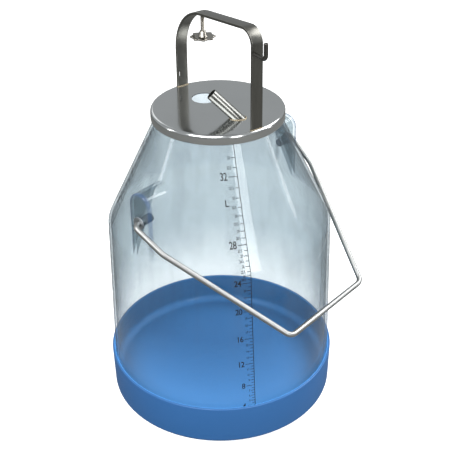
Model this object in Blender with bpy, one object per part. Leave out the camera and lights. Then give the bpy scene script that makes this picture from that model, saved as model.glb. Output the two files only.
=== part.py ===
"""Milk bucket of a bucket milking machine: clear body, blue base cup, bail and lifting lid.

Metres, +Z up. The origin is the centre of the flat hub under the base cup. The bail turns about
the X direction and hangs towards -Y. Everything on the lid is placed along the lid handle: u runs
from the handle's rear foot to its front foot, v runs across it.
"""

import math

import bmesh
import bpy
from mathutils import Matrix, Vector

GAP = 0.0003                    # clearance between pieces that touch
RUNNING = 0.0004                # radial clearance of a round piece that turns or slides
SEGMENTS = 64                   # facets round the large turned pieces
SMALL_SEGMENTS = 24             # facets round the small turned pieces

# Clear body
BODY_R = 0.1720                 # outer radius at the base cup's rim
BODY_TAPER = 0.0049             # how much narrower it is where the cone starts
SHOULDER_Z = 0.2998             # height where the cone starts
CONE_HEIGHT = 0.1637            # from there up to the lid skirt's lower edge
NECK_R = 0.0888                 # outer radius of the cone at that edge
BODY_WALL = 0.0040
BODY_FOOT_R = 0.0120            # outer radius of the bottom corner
LIP_REACH = 0.0040              # how far the neck's lip stands out from the cone
LIP_HEIGHT = 0.0060
RIM_RISE = 0.0090               # from the lid skirt's lower edge up to the lip's top face

# Base cup
CUP_HEIGHT = 0.0667
CUP_WALL = 0.0043
CUP_DRAFT = 0.0013              # how much narrower the cup is at its foot
CUP_FLOOR_TOP = 0.0167
CUP_FLOOR = 0.0040
CUP_CORNER = 0.0060
CUP_FOOT_WIDTH = 0.0090         # width of the outer foot ring
CUP_MID_RING_R = 0.0880
CUP_RING_WIDTH = 0.0060
CUP_HUB_R = 0.0240
CUP_RIB_WIDTH = 0.0050
CUP_RIB_LIFT = 0.0020           # the ribs end this far above the foot rings
CUP_RIBS = 8

# Ears moulded on the body, and the bail's sockets in them
EAR_INSET = 0.0006              # how far the ear's face lies inside the shoulder's radius
EAR_WIDTH = 0.0370
EAR_STRAIGHT = 0.0877           # from the shoulder up to the centre of the ear's round top
EAR_ROOT = 0.0298               # from the shoulder down to the ear's end inside the wall
EAR_DEPTH = 0.0750
PIVOT_RISE = 0.0622             # from the shoulder up to the bail's pivot line
SOCKET_R = 0.0067
SOCKET_FLANGE_R = 0.0095
SOCKET_FLANGE = 0.0020
SOCKET_DEPTH = 0.0240
SOCKET_END = 0.0020

# Bail, in its own plane: widths from the ears' faces and distances from the pivot line
BAIL_WIRE = 0.0080
BAIL_PIVOT_OUT = 0.0115         # from an ear's face to the arm's middle line at the pivot
BAIL_ELBOW_OUT = 0.0035         # the same at the elbow
BAIL_ELBOW_T = 0.0540
BAIL_GRIP_HALF = 0.0860
BAIL_GRIP_OUT = 0.0760          # how much further than the body's radius the grip reaches
BAIL_PIVOT_BEND = 0.0080
BAIL_ELBOW_BEND = 0.0400
BAIL_GRIP_BEND = 0.0140

# Lid and gasket
LID_OVERHANG = 0.0071           # the lid's outer radius less the neck's
LID_SEAT = 0.0049               # from the lip's top face up to the lid's top face
LID_SHEET = 0.0012
LID_EDGE = 0.0045               # radius of the lid's rounded edge
LID_TURN_DEG = -14.5            # direction of the handle's front foot, from -Y towards +X
PORT_R = 0.0180                 # hole that a pulsator seats on
PORT_U = -0.0340
GASKET_LIP = 0.0030
GASKET_LIP_DEPTH = 0.0085

# Lid handle, a bent flat bar
STRAP_WIDTH = 0.0180
STRAP = 0.0040
STRAP_INSET = 0.0049            # from the lid's edge in to a leg's middle line
STRAP_FRONT_RISE = 0.1406       # from the lid up to where the top line meets the front leg's
STRAP_RISE_DEG = 6.0            # the top rises towards the front
STRAP_REAR_BEND = 0.0700
STRAP_FRONT_BEND = 0.0200
SLOT_WIDTH = 0.0030
SLOT_LENGTH = 0.0100
SLOT_RISE = 0.0191
SLOT_V = -0.0045

# Cluster hook on the front leg
HOOK_ROD = 0.0060
HOOK_DROP = 0.0315              # from that meeting point down to the hook's axis
HOOK_REACH = 0.0250
HOOK_RISE = 0.0225
HOOK_BEND = 0.0060

# Milk inlet tube
TUBE_R = 0.0080
TUBE_WALL = 0.0011
TUBE_INSET = 0.0401             # from the neck radius in to where its axis crosses the lid top
TUBE_V = 0.0
TUBE_HEADING_DEG = -127.5       # from the direction of the front foot
TUBE_RISE_DEG = 44.5
TUBE_LENGTH = 0.0510
TUBE_BEND = 0.0160
TUBE_CORNER = 0.0130            # from the lid's top face down the axis to the bend's corner
TUBE_DROP = 0.0220

# Clamp screw that holds a pulsator down on the port
SCREW_R = 0.0030
WHEEL_RISE = 0.0916             # from the lid up to the underside of the hand wheel
WHEEL_R = 0.0165
WHEEL_LOBE = 0.0015
WHEEL_LOBES = 8
WHEEL_PLATE = 0.0025
WHEEL_HUB_R = 0.0065
WHEEL_HUB_TOP_R = 0.0043
WHEEL_HUB = 0.0100
PAD_R = 0.0080
PAD = 0.0030
PAD_PIN_R = 0.0014
PAD_PIN = 0.0060

# Sizes that follow from the ones above
SHOULDER_R = BODY_R - BODY_TAPER
NECK_Z = SHOULDER_Z + CONE_HEIGHT
RIM_Z = NECK_Z + RIM_RISE
CONE_SLOPE = (SHOULDER_R - NECK_R) / CONE_HEIGHT
LIP_R = NECK_R - (RIM_RISE - LIP_HEIGHT) * CONE_SLOPE + LIP_REACH
EAR_FACE_X = SHOULDER_R - EAR_INSET
EAR_ROUND_Z = SHOULDER_Z + EAR_STRAIGHT
EAR_BOTTOM_Z = SHOULDER_Z - EAR_ROOT
PIVOT_Z = SHOULDER_Z + PIVOT_RISE
LID_R = NECK_R + LID_OVERHANG
TUBE_U = NECK_R - TUBE_INSET
LID_TOP_Z = RIM_Z + LID_SEAT
LID_TURN = math.radians(LID_TURN_DEG)
STRAP_HALF = LID_R - STRAP_INSET
STRAP_FRONT_Z = LID_TOP_Z + STRAP_FRONT_RISE


def clear_scene():
    for item in list(bpy.data.objects):
        bpy.data.objects.remove(item, do_unlink=True)


def finish(name, color, roughness, metallic=0.0, alpha=1.0):
    material = bpy.data.materials.new(name)
    material.use_nodes = True
    shader = material.node_tree.nodes["Principled BSDF"]
    shader.inputs["Base Color"].default_value = (*color, 1.0)
    shader.inputs["Roughness"].default_value = roughness
    shader.inputs["Metallic"].default_value = metallic
    shader.inputs["Alpha"].default_value = alpha
    return material


def add_object(name, data, material, parent=None):
    item = bpy.data.objects.new(name, data)
    bpy.context.collection.objects.link(item)
    data.materials.append(material)
    item.parent = parent
    return item


def add_empty(name, location, turn=(0.0, 0.0, 0.0), parent=None):
    item = bpy.data.objects.new(name, None)
    bpy.context.collection.objects.link(item)
    item.location = location
    item.rotation_euler = turn
    item.parent = parent
    return item


def mesh_from(bm, name, smooth_deg=35.0):
    bmesh.ops.recalc_face_normals(bm, faces=bm.faces)
    mesh = bpy.data.meshes.new(name)
    bm.to_mesh(mesh)
    bm.free()
    mesh.shade_smooth()
    mesh.set_sharp_from_angle(angle=math.radians(smooth_deg))
    return mesh


def turned(name, profile, segments=SEGMENTS, radius_at=None):
    """A profile of (radius, height) points turned about Z.

    It starts and ends on the axis, or it is a closed loop away from the axis. radius_at(radius,
    angle) changes a radius with the angle, for lobes.
    """
    bm = bmesh.new()
    rings = []
    for radius, height in profile:
        if radius == 0.0:
            rings.append([bm.verts.new((0.0, 0.0, height))] * segments)
            continue
        ring = []
        for step in range(segments):
            angle = 2.0 * math.pi * step / segments
            reach = radius_at(radius, angle) if radius_at else radius
            ring.append(bm.verts.new((reach * math.cos(angle), reach * math.sin(angle), height)))
        rings.append(ring)
    open_profile = profile[0][0] == 0.0
    pairs = list(zip(rings, rings[1:])) if open_profile else list(zip(rings, rings[1:] + rings[:1]))
    for upper, lower in pairs:
        for step in range(segments):
            after = (step + 1) % segments
            corners = [upper[step], upper[after], lower[after], lower[step]]
            corners = [c for n, c in enumerate(corners) if c not in corners[:n]]
            bm.faces.new(corners)
    return mesh_from(bm, name)


def prism(name, outline, offset, length):
    """A closed outline of 3-D points, pushed along the vector offset by length."""
    bm = bmesh.new()
    shift = Vector(offset).normalized() * length
    near = [bm.verts.new(point) for point in outline]
    far = [bm.verts.new(Vector(point) + shift) for point in outline]
    bm.faces.new(near)
    bm.faces.new(list(reversed(far)))
    for step, corner in enumerate(near):
        after = (step + 1) % len(near)
        bm.faces.new([corner, far[step], far[after], near[after]])
    return mesh_from(bm, name)


def cut(item, cutter_mesh, operation="DIFFERENCE", matrix=None):
    """A live Boolean on item, with its cutter kept as a wire guide."""
    cutter = bpy.data.objects.new(cutter_mesh.name, cutter_mesh)
    bpy.context.collection.objects.link(cutter)
    cutter.parent = item.parent
    if matrix is not None:
        cutter.matrix_local = matrix
    cutter.hide_render = True
    cutter.display_type = "WIRE"
    step = item.modifiers.new(cutter_mesh.name, "BOOLEAN")
    step.operation = operation
    step.object = cutter
    step.solver = "EXACT"


def arc_points(centre, radius, start_deg, end_deg, steps):
    """Points (x, y) on an arc, both ends included."""
    points = []
    for step in range(steps + 1):
        angle = math.radians(start_deg + (end_deg - start_deg) * step / steps)
        points.append((centre[0] + radius * math.cos(angle), centre[1] + radius * math.sin(angle)))
    return points


def rounded_path(corners, radii, steps=6):
    """A path through the corner points, each inner corner replaced by an arc of its radius."""
    points = [Vector(corners[0])]
    for before, corner, after, radius in zip(corners, corners[1:], corners[2:], radii):
        corner = Vector(corner)
        inward = (Vector(before) - corner).normalized()
        outward = (Vector(after) - corner).normalized()
        half = inward.angle(outward) / 2.0
        reach = radius / math.tan(half)
        centre = corner + (inward + outward).normalized() * (radius / math.sin(half))
        first = corner + inward * reach - centre
        last = corner + outward * reach - centre
        sweep = first.angle(last)
        axis = first.cross(last).normalized()
        for step in range(steps + 1):
            points.append(centre + Matrix.Rotation(sweep * step / steps, 3, axis) @ first)
    points.append(Vector(corners[-1]))
    return points


def rod(name, points, radius, material, parent=None, sides=3):
    """A round rod along a path, with flat closed ends."""
    curve = bpy.data.curves.new(name, "CURVE")
    curve.dimensions = "3D"
    curve.bevel_depth = radius
    curve.bevel_resolution = sides
    curve.use_fill_caps = True
    spline = curve.splines.new("POLY")
    spline.points.add(len(points) - 1)
    for place, point in zip(spline.points, points):
        place.co = (*point, 1.0)
    spline.use_smooth = True
    return add_object(name, curve, material, parent)


def hollow_sweep(name, points, outer, inner, segments=SMALL_SEGMENTS):
    """A tube along a path that lies in one upright plane, with square open ends."""
    bm = bmesh.new()
    side = (points[1] - points[0]).cross(Vector((0.0, 0.0, 1.0))).normalized()
    rings = []
    for radius in (outer, inner):
        sleeve = []
        for index, point in enumerate(points):
            before = points[max(index - 1, 0)]
            after = points[min(index + 1, len(points) - 1)]
            along = (after - before).normalized()
            up = side.cross(along)
            ring = []
            for step in range(segments):
                angle = 2.0 * math.pi * step / segments
                ring.append(bm.verts.new(point + radius * (math.cos(angle) * side + math.sin(angle) * up)))
            sleeve.append(ring)
        rings.append(sleeve)
    loop = rings[0] + list(reversed(rings[1]))
    for ring, following in zip(loop, loop[1:] + loop[:1]):
        for step in range(segments):
            after = (step + 1) % segments
            bm.faces.new([ring[step], ring[after], following[after], following[step]])
    return mesh_from(bm, name)


def on_lid(u, v, z):
    """A point given along (u) and across (v) the lid handle."""
    return Vector((u * math.sin(LID_TURN) + v * math.cos(LID_TURN),
                   -u * math.cos(LID_TURN) + v * math.sin(LID_TURN), z))


# ---------------------------------------------------------------- body and base cup


def cone_r(z):
    return SHOULDER_R - (z - SHOULDER_Z) * CONE_SLOPE


def body_outside():
    """The body's outer surface, from the middle of the rim down to the middle of its bottom."""
    bottom = CUP_FLOOR_TOP + GAP
    profile = [(0.0, RIM_Z), (LIP_R - 0.001, RIM_Z), (LIP_R, RIM_Z - 0.001)]
    profile += [(LIP_R, RIM_Z - LIP_HEIGHT + 0.001), (LIP_R - 0.001, RIM_Z - LIP_HEIGHT)]
    profile += [(cone_r(RIM_Z - LIP_HEIGHT - 0.001), RIM_Z - LIP_HEIGHT - 0.001)]
    profile += [(SHOULDER_R, SHOULDER_Z), (BODY_R, CUP_HEIGHT)]
    profile += arc_points((BODY_R - BODY_FOOT_R, bottom + BODY_FOOT_R), BODY_FOOT_R, 0, -90, 5)
    profile.append((0.0, bottom))
    return profile


def body_inside():
    """The space inside the body, open above the rim."""
    wall = BODY_WALL * math.hypot(1.0, CONE_SLOPE)
    bottom = CUP_FLOOR_TOP + GAP + BODY_WALL
    corner = BODY_FOOT_R - BODY_WALL
    shoulder_z = SHOULDER_Z - BODY_WALL * CONE_SLOPE / 2.0
    profile = [(0.0, RIM_Z + 0.02), (cone_r(RIM_Z) - wall, RIM_Z + 0.02), (cone_r(RIM_Z) - wall, RIM_Z)]
    profile += [(SHOULDER_R - BODY_WALL, shoulder_z), (BODY_R - BODY_WALL, CUP_HEIGHT)]
    profile += arc_points((BODY_R - BODY_FOOT_R, bottom + corner), corner, 0, -90, 4)
    profile.append((0.0, bottom))
    return profile


def profile_distance(point, profile):
    """Distance from a (radius, height) point to a profile's line."""
    nearest = math.inf
    for start, end in zip(profile, profile[1:]):
        start = Vector(start)
        along = Vector(end) - start
        share = max(0.0, min(1.0, (point - start).dot(along) / along.length_squared))
        nearest = min(nearest, (point - start - along * share).length)
    return nearest


def ear_outline(half, side, x):
    """An ear's outline in the plane x: straight sides and a round top."""
    points = [(side * x, -half, EAR_BOTTOM_Z), (side * x, half, EAR_BOTTOM_Z)]
    points += [(side * x, y, z) for y, z in arc_points((0.0, EAR_ROUND_Z), half, 0, 180, 12)]
    return points


def make_body():
    clear = finish("clear_polycarbonate", (0.78, 0.84, 0.87), 0.08, alpha=0.35)
    body = add_object("bucket_body", turned("bucket_body", body_outside()), clear)
    for label, side in (("left", -1), ("right", 1)):
        outline = ear_outline(EAR_WIDTH / 2.0, side, EAR_FACE_X)
        cut(body, prism("ear_outside_" + label, outline, (-side, 0, 0), EAR_DEPTH), "UNION")
    cut(body, turned("body_space", body_inside()))
    for label, side in (("left", -1), ("right", 1)):
        outline = ear_outline(EAR_WIDTH / 2.0 - BODY_WALL, side, EAR_FACE_X - BODY_WALL)
        cut(body, prism("ear_space_" + label, outline, (-side, 0, 0), EAR_DEPTH - BODY_WALL))
    for label, side in (("left", -1), ("right", 1)):
        hole = turned("socket_hole_" + label, [(0, -0.02), (SOCKET_R + GAP, -0.02),
                                               (SOCKET_R + GAP, 0.02), (0, 0.02)], SMALL_SEGMENTS)
        place = Matrix.Translation((side * EAR_FACE_X, 0, PIVOT_Z)) @ Matrix.Rotation(math.pi / 2, 4, "Y")
        cut(body, hole, matrix=place)


def make_sockets():
    """Blind metal sockets that the bail's ends turn in."""
    metal = finish("socket_steel", (0.30, 0.31, 0.32), 0.35, 1.0)
    bore = BAIL_WIRE / 2.0 + RUNNING
    face = SOCKET_FLANGE + GAP
    end = SOCKET_DEPTH - face
    profile = [(0.0, -end), (SOCKET_R, -end), (SOCKET_R, GAP), (SOCKET_FLANGE_R, GAP)]
    profile += [(SOCKET_FLANGE_R, face), (bore, face), (bore, SOCKET_END - end), (0.0, SOCKET_END - end)]
    for label, side in (("left", -1), ("right", 1)):
        sleeve = turned("bail_socket_" + label, profile, SMALL_SEGMENTS)
        socket = add_object("bail_socket_" + label, sleeve, metal)
        socket.location = (side * EAR_FACE_X, 0.0, PIVOT_Z)
        socket.rotation_euler = (0.0, side * math.pi / 2.0, 0.0)


def make_cup():
    blue = finish("blue_plastic", (0.06, 0.22, 0.52), 0.35)
    inner = BODY_R + GAP
    top_r = inner + CUP_WALL
    foot_r = top_r - CUP_DRAFT
    under = CUP_FLOOR_TOP - CUP_FLOOR
    well = BODY_FOOT_R + GAP
    ring = foot_r - CUP_FOOT_WIDTH
    mid = CUP_RING_WIDTH / 2.0
    profile = [(0.0, CUP_FLOOR_TOP)]
    profile += arc_points((inner - well, CUP_FLOOR_TOP + well), well, -90, 0, 5)
    profile += [(inner, CUP_HEIGHT - 0.0005), (inner + 0.0005, CUP_HEIGHT)]
    profile += [(top_r - 0.0015, CUP_HEIGHT), (top_r, CUP_HEIGHT - 0.0015)]
    profile += arc_points((foot_r - CUP_CORNER, CUP_CORNER), CUP_CORNER, 0, -90, 4)
    profile += [(ring, 0.0), (ring, under)]
    profile += [(CUP_MID_RING_R + mid, under), (CUP_MID_RING_R + mid, 0.0)]
    profile += [(CUP_MID_RING_R - mid, 0.0), (CUP_MID_RING_R - mid, under)]
    profile += [(CUP_HUB_R, under), (CUP_HUB_R, 0.0), (0.0, 0.0)]
    cup = add_object("base_cup", turned("base_cup", profile), blue)
    cut(cup, prism("base_ribs", rib_star(ring + 0.002), (0, 0, 1), under + 0.001 - CUP_RIB_LIFT), "UNION")


def rib_star(reach):
    """Outline of all the radial ribs as one star."""
    half = CUP_RIB_WIDTH / 2.0
    pitch = 2.0 * math.pi / CUP_RIBS
    notch = half / math.sin(pitch / 2.0)
    points = []
    for number in range(CUP_RIBS):
        angle = (number + 0.5) * pitch
        along = Vector((math.cos(angle), math.sin(angle), 0.0))
        across = Vector((-math.sin(angle), math.cos(angle), 0.0))
        low = Vector((0.0, 0.0, CUP_RIB_LIFT))
        points += [along * reach - across * half + low, along * reach + across * half + low]
        between = angle + pitch / 2.0
        points.append(Vector((notch * math.cos(between), notch * math.sin(between), CUP_RIB_LIFT)))
    return points


# ---------------------------------------------------------------- bail


def bail_path():
    """The wire's middle line in the bail's own plane, as (x, -t, 0) points."""
    end = EAR_FACE_X + SOCKET_FLANGE + GAP - SOCKET_DEPTH + SOCKET_END + GAP
    half = [(end, 0.0), (EAR_FACE_X + BAIL_PIVOT_OUT, 0.0), (EAR_FACE_X + BAIL_ELBOW_OUT, BAIL_ELBOW_T)]
    half.append((BAIL_GRIP_HALF, BODY_R + BAIL_GRIP_OUT))
    corners = [(-x, -t, 0.0) for x, t in half] + [(x, -t, 0.0) for x, t in reversed(half)]
    bends = [BAIL_PIVOT_BEND, BAIL_ELBOW_BEND, BAIL_GRIP_BEND]
    return rounded_path(corners, bends + bends[::-1])


def bail_rest(path):
    """Angle below level at which the wire comes down on the body's shoulder."""
    points = []
    for start, end in zip(path, path[1:]):
        points += [start.lerp(end, step / 20.0) for step in range(20)]
    points = [p for p in points if -p.y > BAIL_ELBOW_T / 2.0]
    outside = body_outside()
    low, high = 0.0, math.radians(80.0)
    for _ in range(20):
        angle = (low + high) / 2.0
        lowered = [(math.hypot(p.x, p.y * math.cos(angle)), p.y * math.sin(angle)) for p in points]
        lowered = [Vector((radius, PIVOT_Z + height)) for radius, height in lowered]
        clear = min(profile_distance(p, outside) for p in lowered)
        inside = any(p.y < SHOULDER_Z and p.x < SHOULDER_R for p in lowered)
        if inside or clear < BAIL_WIRE / 2.0 + GAP:
            high = angle
        else:
            low = angle
    return low


def make_bail():
    steel = finish("stainless_wire", (0.62, 0.62, 0.60), 0.30, 1.0)
    path = bail_path()
    pivot = add_empty("bail_pivot", (0.0, 0.0, PIVOT_Z), (bail_rest(path), 0.0, 0.0))
    rod("bail", path, BAIL_WIRE / 2.0, steel, pivot)


# ---------------------------------------------------------------- lid


def make_lid(lid_frame):
    steel = finish("polished_stainless", (0.55, 0.54, 0.51), 0.12, 1.0)
    under = LID_TOP_Z - LID_SHEET
    edge_z = LID_TOP_Z - LID_EDGE
    profile = [(0.0, LID_TOP_Z)]
    profile += arc_points((LID_R - LID_EDGE, edge_z), LID_EDGE, 90, 0, 5)
    profile += [(LID_R, NECK_Z), (LID_R - LID_SHEET, NECK_Z)]
    profile += arc_points((LID_R - LID_EDGE, edge_z), LID_EDGE - LID_SHEET, 0, 90, 5)
    profile.append((0.0, under))
    lid = add_object("lid", turned("lid", profile), steel, lid_frame)
    port = turned("port_hole", [(0, 0.02), (PORT_R, 0.02), (PORT_R, -0.02), (0, -0.02)], 48)
    cut(lid, port, matrix=Matrix.Translation(on_lid(PORT_U, 0.0, LID_TOP_Z)))
    hole_r = TUBE_R + GAP
    hole = turned("tube_hole", [(0, 0.014), (hole_r, 0.014), (hole_r, -0.014), (0, -0.014)], SMALL_SEGMENTS)
    tilt = tube_direction().to_track_quat("Z", "Y").to_matrix().to_4x4()
    cut(lid, hole, matrix=Matrix.Translation(on_lid(TUBE_U, TUBE_V, LID_TOP_Z)) @ tilt)


def make_gasket(lid_frame):
    """Flat ring on the neck's lip, with a lip of its own that hangs inside the neck's mouth."""
    rubber = finish("gasket_rubber", (0.03, 0.03, 0.03), 0.7)
    top = LID_TOP_Z - LID_SHEET - GAP
    bottom = RIM_Z + GAP
    tip = RIM_Z - GASKET_LIP_DEPTH
    outer = LID_R - LID_EDGE
    lip = cone_r(RIM_Z) - BODY_WALL * math.hypot(1.0, CONE_SLOPE) - 2.0 * GAP
    profile = [(lip - GASKET_LIP, top), (outer, top), (outer, bottom), (lip, bottom), (lip, tip)]
    profile += [(lip - GASKET_LIP / 2.0, tip), (lip - GASKET_LIP, bottom)]
    add_object("lid_gasket", turned("lid_gasket", profile), rubber, lid_frame)


def strap_path():
    """The handle's middle line as (u, z) points, from the rear foot to the front foot."""
    rear_z = STRAP_FRONT_Z - 2.0 * STRAP_HALF * math.tan(math.radians(STRAP_RISE_DEG))
    foot = LID_TOP_Z + GAP
    corners = [(-STRAP_HALF, 0.0, foot), (-STRAP_HALF, 0.0, rear_z)]
    corners += [(STRAP_HALF, 0.0, STRAP_FRONT_Z), (STRAP_HALF, 0.0, foot)]
    return rounded_path(corners, [STRAP_REAR_BEND, STRAP_FRONT_BEND], 10)


def strap_face(offset):
    """The handle's face at an offset from its middle line, outwards positive."""
    path = strap_path()
    points = []
    for index, point in enumerate(path):
        before = path[max(index - 1, 0)]
        after = path[min(index + 1, len(path) - 1)]
        along = (after - before).normalized()
        points.append(point + offset * Vector((-along.z, 0.0, along.x)))
    return points


def strap_height(u, offset):
    """Height of the handle's face at u, on its top stretch."""
    points = [p for p in strap_face(offset) if p.z > LID_TOP_Z + STRAP_HALF]
    for low, high in zip(points, points[1:]):
        if low.x <= u <= high.x:
            return low.z + (high.z - low.z) * (u - low.x) / (high.x - low.x)
    raise ValueError("u is off the handle's top")


def make_handle(lid_frame):
    steel = finish("satin_stainless", (0.45, 0.43, 0.40), 0.28, 1.0)
    outline = strap_face(STRAP / 2.0) + list(reversed(strap_face(-STRAP / 2.0)))
    across = on_lid(0.0, 1.0, 0.0)
    outline = [on_lid(p.x, -STRAP_WIDTH / 2.0, p.z) for p in outline]
    strap = add_object("lid_handle", prism("lid_handle", outline, across, STRAP_WIDTH), steel, lid_frame)
    bore = SCREW_R + RUNNING
    hole = turned("screw_hole", [(0, 0.012), (bore, 0.012), (bore, -0.012), (0, -0.012)], SMALL_SEGMENTS)
    cut(strap, hole, matrix=Matrix.Translation(on_lid(PORT_U, 0.0, strap_height(PORT_U, 0.0))))
    half = SLOT_WIDTH / 2.0
    reach = SLOT_LENGTH / 2.0 - half
    middle = LID_TOP_Z + SLOT_RISE
    ends = arc_points((SLOT_V, middle + reach), half, 0, 180, 6)
    ends += arc_points((SLOT_V, middle - reach), half, 180, 360, 6)
    slot = [on_lid(-STRAP_HALF - STRAP, v, z) for v, z in ends]
    cut(strap, prism("handle_slot", slot, on_lid(1.0, 0.0, 0.0), 2.0 * STRAP))


def make_hook(lid_frame):
    steel = finish("hook_steel", (0.25, 0.25, 0.25), 0.35, 1.0)
    face = STRAP_HALF + STRAP / 2.0
    v = HOOK_ROD / 2.0 - STRAP_WIDTH / 2.0
    z = STRAP_FRONT_Z - HOOK_DROP
    corners = [on_lid(face + GAP, v, z), on_lid(face + HOOK_REACH, v, z)]
    corners.append(on_lid(face + HOOK_REACH, v, z + HOOK_RISE))
    rod("cluster_hook", rounded_path(corners, [HOOK_BEND]), HOOK_ROD / 2.0, steel, lid_frame)


def tube_direction():
    """Direction from the lid towards the inlet tube's mouth."""
    heading = math.radians(TUBE_HEADING_DEG)
    rise = math.radians(TUBE_RISE_DEG)
    level = on_lid(math.cos(heading), math.sin(heading), 0.0)
    return level * math.cos(rise) + Vector((0.0, 0.0, math.sin(rise)))


def make_tube(lid_frame):
    steel = finish("tube_stainless", (0.50, 0.49, 0.46), 0.2, 1.0)
    seat = on_lid(TUBE_U, TUBE_V, LID_TOP_Z)
    corner = seat - tube_direction() * TUBE_CORNER
    corners = [seat + tube_direction() * TUBE_LENGTH, corner, corner - Vector((0.0, 0.0, TUBE_DROP))]
    points = rounded_path(corners, [TUBE_BEND])
    tube = hollow_sweep("milk_inlet_tube", points, TUBE_R, TUBE_R - TUBE_WALL)
    add_object("milk_inlet_tube", tube, steel, lid_frame)


# ---------------------------------------------------------------- clamp screw


def lobed(radius, angle):
    """Scallops on the hand wheel's rim; the hub stays round."""
    if radius < WHEEL_HUB_R + WHEEL_LOBE:
        return radius
    return radius + WHEEL_LOBE * math.cos(WHEEL_LOBES * angle)


def make_clamp(lid_frame):
    steel = finish("screw_steel", (0.42, 0.42, 0.41), 0.25, 1.0)
    wheel_steel = finish("wheel_steel", (0.50, 0.49, 0.47), 0.25, 1.0)
    pad_steel = finish("pad_steel", (0.40, 0.40, 0.40), 0.35, 1.0)
    wheel_z = LID_TOP_Z + WHEEL_RISE
    axis = add_empty("clamp_axis", on_lid(PORT_U, 0.0, wheel_z), parent=lid_frame)
    length = strap_height(PORT_U, STRAP / 2.0) - wheel_z
    socket = PAD_PIN_R + RUNNING
    depth = PAD_PIN + GAP
    screw = [(0.0, length), (SCREW_R - 0.0005, length), (SCREW_R, length - 0.0005), (SCREW_R, 0.0)]
    screw += [(socket, 0.0), (socket, depth), (0.0, depth)]
    add_object("clamp_screw", turned("clamp_screw", screw, SMALL_SEGMENTS), steel, axis)
    bore = SCREW_R + GAP
    wheel = [(bore, 0.0), (bore, WHEEL_HUB), (WHEEL_HUB_TOP_R, WHEEL_HUB), (WHEEL_HUB_R, WHEEL_PLATE)]
    wheel += [(WHEEL_R - 0.0006, WHEEL_PLATE), (WHEEL_R, WHEEL_PLATE - 0.0006)]
    wheel += [(WHEEL_R, 0.0006), (WHEEL_R - 0.0006, 0.0)]
    add_object("clamp_wheel", turned("clamp_wheel", wheel, SEGMENTS, lobed), wheel_steel, axis)
    pad = [(0.0, PAD_PIN - GAP), (PAD_PIN_R, PAD_PIN - GAP), (PAD_PIN_R, -GAP), (PAD_R, -GAP)]
    pad += [(PAD_R, 0.0006 - PAD), (PAD_R - 0.0006, -PAD), (0.0, -PAD)]
    add_object("clamp_pad", turned("clamp_pad", pad, SMALL_SEGMENTS), pad_steel, axis)


clear_scene()
make_cup()
make_body()
make_sockets()
make_bail()
lid_place = add_empty("lid_place", (0.0, 0.0, 0.0))
make_lid(lid_place)
make_gasket(lid_place)
make_handle(lid_place)
make_hook(lid_place)
make_tube(lid_place)
make_clamp(lid_place)
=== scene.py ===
"""Milk bucket of a bucket milking machine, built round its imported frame.

Metres, +Z up. The origin is the centre of the flat hub under the base cup, the bail turns about X
and hangs towards -Y. Directions round the bucket are headings in degrees: 0 is -Y, 90 is +X.
"""

import math

import bmesh
import bpy
from mathutils import Matrix, Vector


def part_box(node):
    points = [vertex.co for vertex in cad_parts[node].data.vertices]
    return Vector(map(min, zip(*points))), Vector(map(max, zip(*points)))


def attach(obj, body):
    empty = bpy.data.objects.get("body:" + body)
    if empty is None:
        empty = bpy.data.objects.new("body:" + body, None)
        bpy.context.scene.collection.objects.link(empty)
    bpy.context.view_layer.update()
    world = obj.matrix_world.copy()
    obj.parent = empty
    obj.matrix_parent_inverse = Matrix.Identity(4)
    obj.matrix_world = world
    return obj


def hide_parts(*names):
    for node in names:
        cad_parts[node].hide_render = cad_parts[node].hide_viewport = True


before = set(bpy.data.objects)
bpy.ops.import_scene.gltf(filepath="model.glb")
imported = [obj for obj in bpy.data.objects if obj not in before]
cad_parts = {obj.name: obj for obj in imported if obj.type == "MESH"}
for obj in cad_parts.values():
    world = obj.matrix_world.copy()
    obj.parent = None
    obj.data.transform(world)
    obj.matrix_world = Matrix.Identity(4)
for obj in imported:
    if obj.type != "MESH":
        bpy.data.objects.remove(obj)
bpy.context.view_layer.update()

MM = 0.001
GAP = 0.3 * MM
SHARP = math.radians(30.0)

# Clear body, in metres like everything below
BODY_R = 0.1720
SHOULDER_R = 0.1671
SHOULDER_Z = 0.2998
NECK_R = 0.0888
NECK_Z = 0.4635
WALL = 0.0040
FOOT_R = 0.0120
RIM_Z = 0.4725
LIP_HEIGHT = 0.0060
SLOPE = (SHOULDER_R - NECK_R) / (NECK_Z - SHOULDER_Z)
LIP_R = NECK_R - (RIM_Z - LIP_HEIGHT - NECK_Z) * SLOPE + 0.0040
EAR_FACE_X = 0.1665
EAR_HALF = 0.0185
EAR_ROUND_Z = 0.3875
EAR_BOTTOM_Z = 0.2700
EAR_EDGE = 0.0035
EAR_DEPTH = 0.0750
EAR_SPACE_DEPTH = 0.0710
PIVOT_Z = 0.3620
SHOULDER_ROUND = 0.0100
TURNED_STEPS = 224

# Sockets in the ears
SOCKET_HOLE_R = 0.0070
SOCKET_R = 0.0067
SOCKET_BORE = 0.0044
SOCKET_FLANGE_R = 0.0088
SOCKET_FLANGE = 0.0023
SOCKET_LENGTH = 0.0240
SOCKET_END = 0.0020

# Base cup
CUP_TOP_Z = 0.0667
CUP_FLOOR_Z = 0.0167
CUP_UNDER_Z = 0.0127
CUP_WALL = 0.0043

# Bail: t runs from the pivot towards the grip
BAIL_WIRE_R = 0.0040
BAIL_PIVOT_OUT = 0.0115
BAIL_ELBOW_OUT = 0.0035
BAIL_ELBOW_T = 0.0540
BAIL_GRIP_HALF = 0.0860
BAIL_GRIP_OUT = 0.0760
BAIL_BENDS = [0.008, 0.040, 0.014]

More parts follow.
